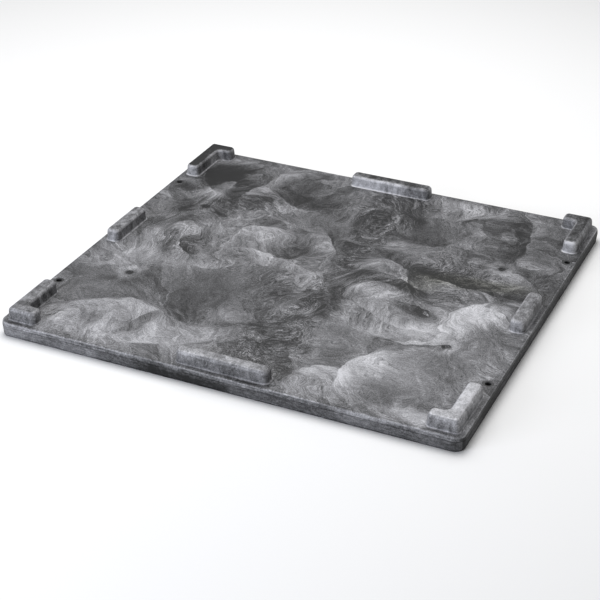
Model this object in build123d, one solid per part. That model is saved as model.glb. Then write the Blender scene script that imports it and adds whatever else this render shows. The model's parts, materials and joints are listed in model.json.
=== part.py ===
"""Closed-deck pallet cap, 48 x 45 in, with raised stacking lugs.

Two structural-foam shells enclose three steel stiffener tubes. Eight hollow lugs sit in shallow
seats in the deck and are screwed from below. Four sleeves line the lashing holes.

Millimetres. Origin: centre of the footprint on the floor. +X runs along the long side, +Y to the
back and +Z up.
"""
from build123d import *
import os

# ---------------------------------------------------------------- driving dimensions
LENGTH = 1219.2                 # 48 in footprint, along X
WIDTH = 1143.0                  # 45 in footprint, along Y
DECK_TOP = 40.0                 # load surface above the floor
CORNER_R = 26.0                 # plan radius of the footprint's corners

# the two shells
SEAM_Z = 28.0                   # outer parting line between deck panel and base grid
RIB_SEAM_Z = 21.0               # where the ribs of the two shells meet
SKIN = 5.0                      # deck plate
WALL = 5.0                      # outer skirt
RIB = 4.0                       # thickness of every rib
RIB_ROOT = 1.0                  # how deep ribs and bosses run into the plate or skirt
RIB_END_GAP = 0.3               # deck ribs clear the inside of the base's skirt
BAYS_X = 14                     # rib bays along X (even: one rib on the centre line)
BAYS_Y = 13                     # rib bays along Y (odd: the middle tube runs between ribs)
DECK_DRAFT = 1.5                # how far the deck's edge leans in from the seam to the top
BASE_DRAFT = 2.0                # how far the base's edge leans in from the seam to the floor
TOP_EDGE_R = 4.5                # rounding of the deck's outer top edge
FLOOR_EDGE_R = 3.0              # rounding of the base's outer bottom edge
SEAM_CHAMFER = 0.6              # small bevel on both sides of the outer parting line

# stacking lugs
LUG_HEIGHT = 33.0               # above the deck
LUG_EDGE = 16.0                 # deck edge to the lug's outer face, at the deck
LUG_BREADTH = 41.0              # across a lug, at the deck
LONG_LUG = 244.0                # middle lugs of the front and back sides
SHORT_LUG = 164.0               # middle lugs of the left and right sides
CORNER_LEG_X = 97.0             # footprint edge to the end of the leg along X
CORNER_LEG_Y = 193.0            # footprint edge to the end of the leg along Y
LUG_DRAFT_DEG = 5.0
LUG_END_R = 14.5                # plan radius of a lug's ends
LUG_ELBOW_R = 12.0              # plan radius of a corner lug's outer elbow
LUG_CROWN_R = 10.5              # rounding of the top edge
LUG_WALL = 4.5
FOOT_FLARE = 3.5                # the foot stands out this far round the lug
FOOT_FILLET = 3.0               # cove between foot and lug
SEAT_DEPTH = 3.0                # the foot drops this deep into the deck
SEAT_GAP = 0.35                 # all round the foot
SEAT_PAD = 4.0                  # extra plate under each seat
SEAT_BORDER = 2.0               # the pad stands out this far round the foot

# screws
SHANK_R = 2.0
SHANK_TIP = 4.0                 # length of the tapered end
SHANK_POINT_R = 0.5
PILOT_R = 2.05
CLEARANCE_R = 2.7
HEAD_R = 4.75
HEAD_H = 3.2
HEAD_FACE_R = 3.35              # flat round the socket, inside the head's sloped rim
SOCKET_AF = 4.0                 # hexagon socket, across flats
SOCKET_DEPTH = 1.8
LUG_SCREW_LENGTH = 26.0
SHELL_SCREW_LENGTH = 22.0
PILOT_SPARE = 1.0               # each pilot hole runs on past the screw's tip
MIDDLE_SCREW_LONG = 0.25        # screw offset on a long middle lug, as a part of its length
MIDDLE_SCREW_SHORT = 0.39       # and on a short one, where it has to miss the ribs
CORNER_SCREW_X = 17.0           # end of a corner lug's X leg to its screw
CORNER_SCREW_Y = 26.0           # end of its Y leg to its screw
LUG_BOSS_R = 5.5
DECK_BOSS_R = 6.5
BASE_BOSS_R = 8.5
COUNTERBORE_R = 5.4
COUNTERBORE_DEPTH = 9.0
SCREW_RIBS_X = (-6, -3, 0, 3, 6)            # rib lines that carry shell screws
SCREW_RIBS_Y = (-5.5, -2.5, 2.5, 5.5)

# steel stiffener tubes, along X
TUBE_BREADTH = 40.0
TUBE_HEIGHT = 15.0
TUBE_WALL = 1.5
TUBE_CORNER_R = 2.5
TUBE_LENGTH = 1080.0
TUBE_BAYS = {"front": -4, "middle": 0, "back": 4}       # which Y bay each tube lies in
TUBE_GAP = 0.2                  # round the tube in the rib notches
PLUG_CAP = 3.0
PLUG_DEPTH = 18.0
PLUG_GAP = 0.2
PLUG_BEVEL = 0.8
PLUG_STEM_R = 1.0               # corner radius of the stem's section

# lashing holes
LASH_FROM_SIDE = 24.0           # hole centre to the left or right edge
LASH_FROM_END = 243.5           # hole centre to the front or back edge
LASH_R = 7.5                    # bore of the sleeve
SLEEVE_R = 10.5
SLEEVE_FLANGE_R = 13.0
SLEEVE_FLANGE_H = 2.5
SLEEVE_TOP_DROP = 1.0           # flange below the deck surface
SLEEVE_FLOOR_GAP = 0.5
SLEEVE_MOUTH = 1.2              # bevel at the mouth of the bore
SLEEVE_RIM = 0.6                # bevel round the flange
SLEEVE_GAP = 0.15
LASH_BOSS_R = 14.5
LASH_GROOVE_R = 9.0             # round-bottomed rope groove from the hole to the deck's edge
LASH_GROOVE_DEPTH = 2.2
LASH_MOUTH_FLARE = 2.0          # the deck flares out this far above the flange

# injection gate marks on the deck
GATE_FROM_SIDE = 169.0
GATE_FROM_END = 356.0
GATE_DIMPLE_R = 7.0
GATE_DIMPLE_DEPTH = 0.9
GATE_NUB_R = 2.5
GATE_NUB_H = 0.6

# modelling allowances
OVERSHOOT = 1.0                 # cuts run this far past the face they open
SAME = 0.01                     # how near two sizes are to count as one

HALF_X = LENGTH / 2
HALF_Y = WIDTH / 2
PITCH_X = (LENGTH - 2 * WALL) / BAYS_X
PITCH_Y = (WIDTH - 2 * WALL) / BAYS_Y
TUBE_MID_Z = RIB_SEAM_Z
SEAT_Z = DECK_TOP - SEAT_DEPTH
PAD_Z = DECK_TOP - SKIN - SEAT_PAD
MIRRORS = {"front_left": (-1, -1), "front_right": (1, -1), "back_left": (-1, 1), "back_right": (1, 1)}
BOTTOM_UP = (Align.CENTER, Align.CENTER, Align.MIN)


# ---------------------------------------------------------------- shared shapes
def slab(inset, z_low, z_high):
    """Rounded footprint plate, drawn in by inset all round."""
    outline = RectangleRounded(LENGTH - 2 * inset, WIDTH - 2 * inset, CORNER_R - inset / 2)
    return extrude(Plane.XY.offset(z_low) * outline, z_high - z_low)


def slab_drafted(inset_low, inset_high, z_low, z_high):
    """Footprint plate whose edge leans from one inset to another."""
    low = RectangleRounded(LENGTH - 2 * inset_low, WIDTH - 2 * inset_low, CORNER_R - inset_low / 2)
    high = RectangleRounded(LENGTH - 2 * inset_high, WIDTH - 2 * inset_high, CORNER_R - inset_high / 2)
    return loft([Plane.XY.offset(z_low) * low, Plane.XY.offset(z_high) * high])


def disc(x, y, radius, z_low, z_high):
    """Upright cylinder between two heights."""
    return extrude(Plane.XY.offset(z_low) * Pos(x, y) * Circle(radius), z_high - z_low)


def block(x_size, y_size, z_low, z_high, x=0.0, y=0.0):
    """Upright box between two heights."""
    return extrude(Plane.XY.offset(z_low) * Pos(x, y) * Rectangle(x_size, y_size), z_high - z_low)


def rib_lines_x():
    """X positions of the ribs that run along Y."""
    return [PITCH_X * (i - BAYS_X / 2) for i in range(1, BAYS_X)]


def rib_lines_y():
    """Y positions of the ribs that run along X."""
    return [PITCH_Y * (j - BAYS_Y / 2) for j in range(1, BAYS_Y)]


def rib_lattice(reach, z_low, z_high):
    """Egg-crate ribs, each ending at reach from the footprint's edge."""
    ribs_y = [block(RIB, WIDTH - 2 * reach, z_low, z_high, x=x) for x in rib_lines_x()]
    ribs_x = [block(LENGTH - 2 * reach, RIB, z_low, z_high, y=y) for y in rib_lines_y()]
    return ribs_y + ribs_x


def tube_channels():
    """Space the stiffener tubes need in the ribs of both shells."""
    return [
        block(
            TUBE_LENGTH + 2 * PLUG_CAP + 2 * TUBE_GAP,
            TUBE_BREADTH + 2 * TUBE_GAP,
            TUBE_MID_Z - TUBE_HEIGHT / 2 - TUBE_GAP,
            TUBE_MID_Z + TUBE_HEIGHT / 2 + TUBE_GAP,
            y=bay * PITCH_Y,
        )
        for bay in TUBE_BAYS.values()
    ]


def lashing_points():
    """Centres of the four lashing holes, by corner name."""
    reach_x = HALF_X - LASH_FROM_SIDE
    reach_y = HALF_Y - LASH_FROM_END
    return {corner: (sx * reach_x, sy * reach_y) for corner, (sx, sy) in MIRRORS.items()}


def side_web_x(x):
    """Middle of the web that ties a lashing boss to the skirt beside it."""
    half_web = (LASH_FROM_SIDE - WALL) / 2
    return x + half_web if x > 0 else x - half_web


def shell_screw_points():
    """Rib crossings where the base grid is screwed to the deck panel."""
    return [(i * PITCH_X, j * PITCH_Y) for i in SCREW_RIBS_X for j in SCREW_RIBS_Y]


# ---------------------------------------------------------------- lug outlines and screw places
def corner_outline(grow):
    """L outline of the front left corner lug, grown outwards by grow."""
    near_x = -HALF_X + LUG_EDGE
    near_y = -HALF_Y + LUG_EDGE
    far_x = -HALF_X + CORNER_LEG_X
    far_y = -HALF_Y + CORNER_LEG_Y
    elbow_x = near_x + LUG_BREADTH
    elbow_y = near_y + LUG_BREADTH
    corners = [
        (near_x - grow, near_y - grow, LUG_ELBOW_R + grow),
        (far_x + grow, near_y - grow, LUG_END_R + grow),
        (far_x + grow, elbow_y + grow, LUG_END_R + grow),
        (elbow_x + grow, elbow_y + grow, LUG_END_R - grow),
        (elbow_x + grow, far_y + grow, LUG_END_R + grow),
        (near_x - grow, far_y + grow, LUG_END_R + grow),
    ]
    points = [(x, y) for x, y, r in corners]
    radii = [r for x, y, r in corners]
    return make_face(FilletPolyline(*points, radius=radii, close=True))


def bar_outline(x_size, y_size, x, y, grow):
    """Rounded bar outline of a middle lug, grown outwards by grow."""
    return Pos(x, y) * RectangleRounded(x_size + 2 * grow, y_size + 2 * grow, LUG_END_R + grow)


def middle_lugs():
    """Length, breadth, centre and screw offset of each middle lug."""
    band_y = HALF_Y - LUG_EDGE - LUG_BREADTH / 2
    band_x = HALF_X - LUG_EDGE - LUG_BREADTH / 2
    return {
        "front": (LONG_LUG, LUG_BREADTH, 0.0, -band_y),
        "back": (LONG_LUG, LUG_BREADTH, 0.0, band_y),
        "left": (LUG_BREADTH, SHORT_LUG, -band_x, 0.0),
        "right": (LUG_BREADTH, SHORT_LUG, band_x, 0.0),
    }


def middle_screws(x_size, y_size, x, y):
    """Two screws on the lug's long axis, clear of the ribs."""
    if x_size > y_size:
        reach = x_size * MIDDLE_SCREW_LONG
        return [(x - reach, y), (x + reach, y)]
    reach = y_size * MIDDLE_SCREW_SHORT
    return [(x, y - reach), (x, y + reach)]


def corner_screws(sx, sy):
    """Elbow, end of the X leg and end of the Y leg."""
    middle = LUG_EDGE + LUG_BREADTH / 2
    near = [
        (middle, middle),
        (CORNER_LEG_X - CORNER_SCREW_X, middle),
        (middle, CORNER_LEG_Y - CORNER_SCREW_Y),
    ]
    return [(sx * (HALF_X - dx), sy * (HALF_Y - dy)) for dx, dy in near]


def to_corner(shape, sx, sy):
    """Carry a front left shape to another corner."""
    if sx > 0 and sy > 0:
        return Rot(0, 0, 180) * shape
    if sx > 0:
        return mirror(shape, about=Plane.YZ)
    if sy > 0:
        return mirror(shape, about=Plane.XZ)
    return shape


def lug_footprints(grow):
    """Every lug's outline, grown by grow, as one list of faces."""
    corner = corner_outline(grow)
    faces = [to_corner(corner, sx, sy) for sx, sy in MIRRORS.values()]
    bars = [bar_outline(xs, ys, x, y, grow) for xs, ys, x, y in middle_lugs().values()]
    return faces + bars


# ---------------------------------------------------------------- lugs
def lug(outline, screws):
    """Hollow drafted lug with a coved foot and screw bosses. outline(grow) gives its plan."""
    base = Plane.XY.offset(DECK_TOP)
    body = extrude(base * outline(0.0), LUG_HEIGHT, taper=LUG_DRAFT_DEG)
    crown = body.faces().sort_by(Axis.Z)[-1].edges()
    body = fillet(crown, LUG_CROWN_R)
    foot = extrude(Plane.XY.offset(SEAT_Z) * outline(FOOT_FLARE), SEAT_DEPTH)
    body = body + foot
    ledge = [face for face in body.faces().filter_by(Plane.XY) if abs(face.center().Z - DECK_TOP) < SAME]
    root = ledge[0].inner_wires()[0].edges()
    body = fillet(root, FOOT_FILLET)
    hollow_height = SEAT_DEPTH + LUG_HEIGHT - LUG_WALL
    body = body - extrude(Plane.XY.offset(SEAT_Z) * outline(-LUG_WALL), hollow_height, taper=LUG_DRAFT_DEG)
    roof = DECK_TOP + LUG_HEIGHT - LUG_WALL / 2
    bosses = [disc(x, y, LUG_BOSS_R, SEAT_Z, roof) for x, y in screws]
    pilots = [disc(x, y, PILOT_R, SEAT_Z, PAD_Z + LUG_SCREW_LENGTH + PILOT_SPARE) for x, y in screws]
    return body + bosses - pilots


def make_lugs():
    """All eight lugs by node name."""
    lugs = {}
    corner = lug(corner_outline, corner_screws(-1, -1))
    for name, (sx, sy) in MIRRORS.items():
        lugs["corner_lug_" + name] = to_corner(corner, sx, sy)
    for name, (xs, ys, x, y) in middle_lugs().items():
        screws = middle_screws(xs, ys, x, y)
        lugs["middle_lug_" + name] = lug(lambda grow: bar_outline(xs, ys, x, y, grow), screws)
    return lugs


def lug_screw_points():
    """Every lug screw, three in a corner lug and two in a middle lug."""
    points = []
    for sx, sy in MIRRORS.values():
        points += corner_screws(sx, sy)
    for xs, ys, x, y in middle_lugs().values():
        points += middle_screws(xs, ys, x, y)
    return points


# ---------------------------------------------------------------- shells
def make_deck_panel():
    """Top plate, upper half of the edge, ribs, lug seats, bosses and gate marks."""
    edge = slab_drafted(0.0, DECK_DRAFT, SEAM_Z + SEAM_CHAMFER, DECK_TOP)
    top_edges = edge.faces().sort_by(Axis.Z)[-1].edges()
    edge = fillet(top_edges, TOP_EDGE_R)
    edge = edge + slab_drafted(SEAM_CHAMFER, 0.0, SEAM_Z, SEAM_Z + SEAM_CHAMFER)
    panel = edge - slab(WALL, SEAM_Z, DECK_TOP - SKIN)

    plate_z = DECK_TOP - SKIN
    inside_base = WALL + BASE_DRAFT + RIB_END_GAP
    panel = panel + rib_lattice(WALL - RIB_ROOT, SEAM_Z, plate_z + RIB_ROOT)
    panel = panel + rib_lattice(inside_base, RIB_SEAM_Z, SEAM_Z)
    pads = [
        extrude(Plane.XY.offset(PAD_Z) * face, SEAT_PAD + RIB_ROOT)
        for face in lug_footprints(FOOT_FLARE + SEAT_BORDER)
    ]
    bosses = [disc(x, y, DECK_BOSS_R, RIB_SEAM_Z, plate_z + RIB_ROOT) for x, y in shell_screw_points()]
    lash = [disc(x, y, LASH_BOSS_R, RIB_SEAM_Z, plate_z + RIB_ROOT) for x, y in lashing_points().values()]
    panel = panel + pads + bosses + lash

    pockets = [
        extrude(Plane.XY.offset(SEAT_Z) * face, SEAT_DEPTH + OVERSHOOT)
        for face in lug_footprints(FOOT_FLARE + SEAT_GAP)
    ]
    lug_holes = [
        disc(x, y, CLEARANCE_R, PAD_Z - OVERSHOOT, SEAT_Z + OVERSHOOT)
        for x, y in lug_screw_points()
    ]
    pilot_top = COUNTERBORE_DEPTH + SHELL_SCREW_LENGTH + PILOT_SPARE
    pilots = [disc(x, y, PILOT_R, RIB_SEAM_Z - OVERSHOOT, pilot_top) for x, y in shell_screw_points()]
    panel = panel - pockets - lug_holes - pilots - tube_channels() - deck_lashing_cuts() - gate_dimples()
    return panel + gate_nubs()


def deck_lashing_cuts():
    """Bore, flange seat, flared mouth and rope groove of each lashing hole."""
    flange_z = DECK_TOP - SLEEVE_TOP_DROP - SLEEVE_FLANGE_H
    groove_z = DECK_TOP - LASH_GROOVE_DEPTH + LASH_GROOVE_R
    seat_r = SLEEVE_FLANGE_R + SLEEVE_GAP
    flare = Cone(seat_r, seat_r + LASH_MOUTH_FLARE, SLEEVE_TOP_DROP, align=BOTTOM_UP)
    groove = Cylinder(LASH_GROOVE_R, LASH_FROM_SIDE + OVERSHOOT, align=BOTTOM_UP)
    cuts = []
    for x, y in lashing_points().values():
        outwards = 90 if x > 0 else -90
        cuts.append(disc(x, y, SLEEVE_R + SLEEVE_GAP, RIB_SEAM_Z - OVERSHOOT, DECK_TOP))
        cuts.append(disc(x, y, seat_r, flange_z, DECK_TOP + OVERSHOOT))
        cuts.append(Pos(x, y, DECK_TOP - SLEEVE_TOP_DROP) * flare)
        cuts.append(Pos(x, y, groove_z) * Rot(0, outwards, 0) * groove)
    return cuts


def gate_points():
    """Centres of the four injection gate marks."""
    reach_x = HALF_X - GATE_FROM_SIDE
    reach_y = HALF_Y - GATE_FROM_END
    return [(sx * reach_x, sy * reach_y) for sx, sy in MIRRORS.values()]


def gate_dimples():
    """Shallow round recess at each gate."""
    floor_z = DECK_TOP - GATE_DIMPLE_DEPTH
    return [disc(x, y, GATE_DIMPLE_R, floor_z, DECK_TOP + OVERSHOOT) for x, y in gate_points()]


def gate_nubs():
    """Trimmed gate stub in the middle of each recess."""
    floor_z = DECK_TOP - GATE_DIMPLE_DEPTH
    return [disc(x, y, GATE_NUB_R, floor_z - RIB_ROOT, floor_z + GATE_NUB_H) for x, y in gate_points()]


def make_base_grid():
    """Lower half of the edge, ribs, screw bosses and sleeve bosses. Open between its ribs."""
    edge = slab_drafted(BASE_DRAFT, 0.0, 0.0, SEAM_Z - SEAM_CHAMFER)
    floor_edges = edge.faces().sort_by(Axis.Z)[0].edges()
    edge = fillet(floor_edges, FLOOR_EDGE_R)
    edge = edge + slab_drafted(0.0, SEAM_CHAMFER, SEAM_Z - SEAM_CHAMFER, SEAM_Z)
    grid = edge - slab(WALL + BASE_DRAFT, -OVERSHOOT, SEAM_Z + OVERSHOOT)

    bosses = [disc(x, y, BASE_BOSS_R, 0.0, RIB_SEAM_Z) for x, y in shell_screw_points()]
    lash = [disc(x, y, LASH_BOSS_R, 0.0, RIB_SEAM_Z) for x, y in lashing_points().values()]
    webs = [
        block(LASH_FROM_SIDE - WALL, RIB, 0.0, RIB_SEAM_Z, x=side_web_x(x), y=y)
        for x, y in lashing_points().values()
    ]
    grid = grid + rib_lattice(WALL, 0.0, RIB_SEAM_Z) + bosses + lash + webs

    top_z = RIB_SEAM_Z + OVERSHOOT
    counterbores = [disc(x, y, COUNTERBORE_R, -OVERSHOOT, COUNTERBORE_DEPTH) for x, y in shell_screw_points()]
    clearances = [disc(x, y, CLEARANCE_R, 0.0, top_z) for x, y in shell_screw_points()]
    bores = [disc(x, y, SLEEVE_R + SLEEVE_GAP, -OVERSHOOT, top_z) for x, y in lashing_points().values()]
    return grid - counterbores - clearances - bores - tube_channels()


# ---------------------------------------------------------------- metalwork and small parts
def tube_end(bay, side):
    """Plane across one end of a tube, facing out of it."""
    centre = (side * TUBE_LENGTH / 2, bay * PITCH_Y, TUBE_MID_Z)
    return Plane(origin=centre, x_dir=(0, 1, 0), z_dir=(side, 0, 0))


def make_tube(bay):
    """Rectangular steel tube lying in one bay, between the two shells."""
    inner_breadth = TUBE_BREADTH - 2 * TUBE_WALL
    inner_height = TUBE_HEIGHT - 2 * TUBE_WALL
    outer = RectangleRounded(TUBE_BREADTH, TUBE_HEIGHT, TUBE_CORNER_R)
    inner = RectangleRounded(inner_breadth, inner_height, TUBE_CORNER_R - TUBE_WALL)
    return extrude(tube_end(bay, -1) * (outer - inner), -TUBE_LENGTH)


def make_tube_plugs():
    """Plastic plug in both ends of each tube."""
    plugs = []
    stem_breadth = TUBE_BREADTH - 2 * TUBE_WALL - 2 * PLUG_GAP
    stem_height = TUBE_HEIGHT - 2 * TUBE_WALL - 2 * PLUG_GAP
    for bay in TUBE_BAYS.values():
        for side in (-1, 1):
            end = tube_end(bay, side)
            cap = extrude(end * RectangleRounded(TUBE_BREADTH, TUBE_HEIGHT, TUBE_CORNER_R), PLUG_CAP)
            rim = cap.faces().sort_by(Axis.X)[-1 if side > 0 else 0].edges()
            cap = chamfer(rim, PLUG_BEVEL)
            stem = extrude(end * RectangleRounded(stem_breadth, stem_height, PLUG_STEM_R), -PLUG_DEPTH)
            plugs.append(cap + stem)
    return Compound(children=[plug.solid() for plug in plugs])


def circles(shape, radius):
    """The shape's round edges of one radius."""
    return shape.edges().filter_by(GeomType.CIRCLE).filter_by(lambda edge: abs(edge.radius - radius) < SAME)


def make_sleeve(x, y):
    """Flanged liner through both shells, with a bevelled mouth at each end of its bore."""
    top = DECK_TOP - SLEEVE_TOP_DROP
    body = disc(x, y, SLEEVE_R, SLEEVE_FLOOR_GAP, top)
    body = body + disc(x, y, SLEEVE_FLANGE_R, top - SLEEVE_FLANGE_H, top)
    body = body - disc(x, y, LASH_R, 0.0, top + OVERSHOOT)
    body = chamfer(circles(body, LASH_R), SLEEVE_MOUTH)
    return chamfer(circles(body, SLEEVE_FLANGE_R).sort_by(Axis.Z)[-1], SLEEVE_RIM)


def make_screw(length):
    """Screw pointing up from z = 0, with its bevelled head and hexagon socket below."""
    profile = Polyline(
        (0.0, -HEAD_H),
        (HEAD_FACE_R, -HEAD_H),
        (HEAD_R, -HEAD_H / 2),
        (HEAD_R, 0.0),
        (SHANK_R, 0.0),
        (SHANK_R, length - SHANK_TIP),
        (SHANK_POINT_R, length),
        (0.0, length),
        close=True,
    )
    body = revolve(Plane.XZ * make_face(profile), Axis.Z)
    socket = RegularPolygon(SOCKET_AF / 2, 6, major_radius=False)
    return body - extrude(Plane.XY.offset(-HEAD_H - OVERSHOOT) * socket, OVERSHOOT + SOCKET_DEPTH)


def make_screws(length, seat_z, points):
    """One group of identical screws whose heads bear on seat_z from below."""
    screw = make_screw(length).solid()
    return Compound(children=[Pos(x, y, seat_z) * screw for x, y in points])


# ---------------------------------------------------------------- write the nodes
def build():
    """Every node of the assembly by name."""
    nodes = {"deck_panel": make_deck_panel(), "base_grid": make_base_grid()}
    nodes.update(make_lugs())
    for name, bay in TUBE_BAYS.items():
        nodes["stiffener_tube_" + name] = make_tube(bay)
    nodes["tube_plugs"] = make_tube_plugs()
    for name, (x, y) in lashing_points().items():
        nodes["lashing_sleeve_" + name] = make_sleeve(x, y)
    nodes["lug_screws"] = make_screws(LUG_SCREW_LENGTH, PAD_Z, lug_screw_points())
    nodes["shell_screws"] = make_screws(SHELL_SCREW_LENGTH, COUNTERBORE_DEPTH, shell_screw_points())
    return nodes


os.makedirs("parts", exist_ok=True)
for node_name, shape in build().items():
    export_step(shape, f"parts/{node_name}.step")
    print(node_name, round(shape.volume / 1000), "cm3")
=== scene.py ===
"""Marbled foam pallet cap: finishes, studio floor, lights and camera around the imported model. Metres."""
import json
import math

import bpy
from mathutils import Matrix, Vector


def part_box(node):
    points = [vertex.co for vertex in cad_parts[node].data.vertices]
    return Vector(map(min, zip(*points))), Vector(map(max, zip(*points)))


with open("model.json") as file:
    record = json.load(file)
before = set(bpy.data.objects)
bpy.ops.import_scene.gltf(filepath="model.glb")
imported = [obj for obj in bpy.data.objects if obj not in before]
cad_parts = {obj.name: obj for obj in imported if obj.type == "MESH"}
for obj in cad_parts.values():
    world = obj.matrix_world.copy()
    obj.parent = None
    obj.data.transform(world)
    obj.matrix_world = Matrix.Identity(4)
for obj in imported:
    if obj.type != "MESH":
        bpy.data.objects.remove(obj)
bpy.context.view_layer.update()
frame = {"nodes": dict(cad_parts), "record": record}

DECK_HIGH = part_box("deck_panel")[1]
DECK_TOP = DECK_HIGH.z
HALF_X = DECK_HIGH.x
HALF_Y = DECK_HIGH.y
SEAM_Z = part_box("base_grid")[1].z
LUG_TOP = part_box("middle_lug_front")[1].z


# ---------------------------------------------------------------- shader arithmetic
NOISE_MEAN = 0.5


class Value:
    """A shader value that takes part in arithmetic; every operator adds one Math node."""

    def __init__(self, finish, socket):
        self.finish = finish
        self.socket = socket

    def _math(self, operation, *others):
        return self.finish.node("ShaderNodeMath", {"operation": operation}, others)

    def __add__(self, other):
        return self._math("ADD", self, other)

    def __radd__(self, other):
        return self._math("ADD", other, self)

    def __sub__(self, other):
        return self._math("SUBTRACT", self, other)

    def __rsub__(self, other):
        return self._math("SUBTRACT", other, self)

    def __mul__(self, other):
        return self._math("MULTIPLY", self, other)

    def __rmul__(self, other):
        return self._math("MULTIPLY", other, self)

    def __truediv__(self, other):
        return self._math("DIVIDE", self, other)

    def __rtruediv__(self, other):
        return self._math("DIVIDE", other, self)

    def __abs__(self):
        return self._math("ABSOLUTE", self)

    def __mod__(self, other):
        return self._math("FLOORED_MODULO", self, other)

    def least(self, other):
        return self._math("MINIMUM", self, other)

    def most(self, other):
        return self._math("MAXIMUM", self, other)

    def swing(self):
        """Noise measured from its mean."""
        return self - NOISE_MEAN

    def ramp(self, low, high, to_low=0.0, to_high=1.0):
        """Smooth step from to_low at low to to_high at high."""
        settings = {"interpolation_type": "SMOOTHSTEP"}
        inputs = {"Value": self, "From Min": low, "From Max": high, "To Min": to_low, "To Max": to_high}
        return self.finish.node("ShaderNodeMapRange", settings, inputs)


class Finish:
    """One material and the nodes that make it."""

    def __init__(self, name):
        self.material = bpy.data.materials.new(name)
        self.material.use_nodes = True
        self.tree = self.material.node_tree
        self.surface = self.tree.nodes["Principled BSDF"]
        self.place = self.node("ShaderNodeTexCoord", {}, {}, "Object")
        self.x, self.y, self.z = self.split(self.place)

    def node(self, kind, settings, inputs, output=0):
        """Add a node, set its settings, then its sockets by name or place, and give back its output.

        A tuple of outputs gives back a list.
        """
        made = self.tree.nodes.new(kind)
        for key, value in settings.items():
            setattr(made, key, value)
        pairs = inputs.items() if isinstance(inputs, dict) else enumerate(inputs)
        for key, value in pairs:
            if isinstance(value, Value):
                self.tree.links.new(value.socket, made.inputs[key])
            else:
                made.inputs[key].default_value = value
        if isinstance(output, tuple):
            return [Value(self, made.outputs[key]) for key in output]
        return Value(self, made.outputs[output])

    def split(self, vector):
        """The three coordinates of a vector."""
        return self.node("ShaderNodeSeparateXYZ", {}, (vector,), (0, 1, 2))

    def combine(self, x, y, z=0.0):
        return self.node("ShaderNodeCombineXYZ", {}, (x, y, z))

    def vector(self, operation, *inputs, output=0):
        return self.node("ShaderNodeVectorMath", {"operation": operation}, inputs, output)

    def scaled(self, vector, factor):
        inputs = {"Vector": vector, "Scale": factor}
        return self.node("ShaderNodeVectorMath", {"operation": "SCALE"}, inputs)

    def noise(self, vector, scale, detail, rough, output="Fac"):
        inputs = {"Vector": vector, "Scale": scale, "Detail": detail, "Roughness": rough}
        return self.node("ShaderNodeTexNoise", {}, inputs, output)

    def drawn(self, vector, ripples, detail, rough):
        """Noise drawn out in a direction, with its own ripples per metre along each axis."""
        return self.noise(self.vector("MULTIPLY", vector, ripples), 1.0, detail, rough)

    def cell_tints(self, vector, scale):
        """Voronoi cells, each with a random colour of its own."""
        inputs = {"Vector": vector, "Scale": scale}
        return self.node("ShaderNodeTexVoronoi", {"feature": "F1"}, inputs, "Color")

    def shifted(self, vector, colour, reach):
        """Carry a place aside by a random colour measured from mid grey."""
        centred = self.vector("SUBTRACT", colour, (NOISE_MEAN, NOISE_MEAN, NOISE_MEAN))
        return self.vector("ADD", vector, self.scaled(centred, reach))

    def warped(self, vector, scale, reach, detail):
        """Carry a place aside by a smooth random amount of up to about half of reach."""
        return self.shifted(vector, self.noise(vector, scale, detail, 0.5, "Color"), reach)

    def local(self, vector, x, y, size_x, size_y, turn):
        """Place measured from (x, y), turned, in units of the two sizes; height is dropped."""
        settings = {"rotation_type": "Z_AXIS", "invert": True}
        inputs = {"Vector": vector, "Center": (x, y, 0.0), "Angle": math.radians(turn)}
        turned = self.node("ShaderNodeVectorRotate", settings, inputs)
        sizes = (1.0 / size_x, 1.0 / size_y, 0.0)
        return self.vector("MULTIPLY_ADD", turned, sizes, (-x / size_x, -y / size_y, 0.0))

    def length(self, vector):
        return self.vector("LENGTH", vector, output="Value")

    def ahead(self, vector):
        """First coordinate of a vector."""
        return self.vector("DOT_PRODUCT", vector, (1.0, 0.0, 0.0), output="Value")

    def tinted(self, tone, tint, other_tint=None, share=0.0):
        """Colour of one tint, or of a mix with a share of another, whose brightness is a tone."""
        mixed = tint
        if other_tint:
            inputs = {"Factor": share, 6: (*tint, 1.0), 7: (*other_tint, 1.0)}
            mixed = self.node("ShaderNodeMix", {"data_type": "RGBA"}, inputs, 2)
        return self.scaled(mixed, tone)

    def facing_up(self):
        """How far the surface faces up: 1 on flats, 0 on upright walls, between them on rounded edges."""
        return self.split(self.node("ShaderNodeNewGeometry", {}, {}, "Normal"))[2]

    def bump(self, height, distance, strength=1.0):
        inputs = {"Height": height, "Distance": distance, "Strength": strength}
        return self.node("ShaderNodeBump", {}, inputs, "Normal")

    def drive(self, **inputs):
        """Link or set the surface's own sockets."""
        for key, value in inputs.items():
            socket = self.surface.inputs[key.replace("_", " ")]
            if isinstance(value, Value):
                self.tree.links.new(value.socket, socket)
            else:
                socket.default_value = value
        return self.material


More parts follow.
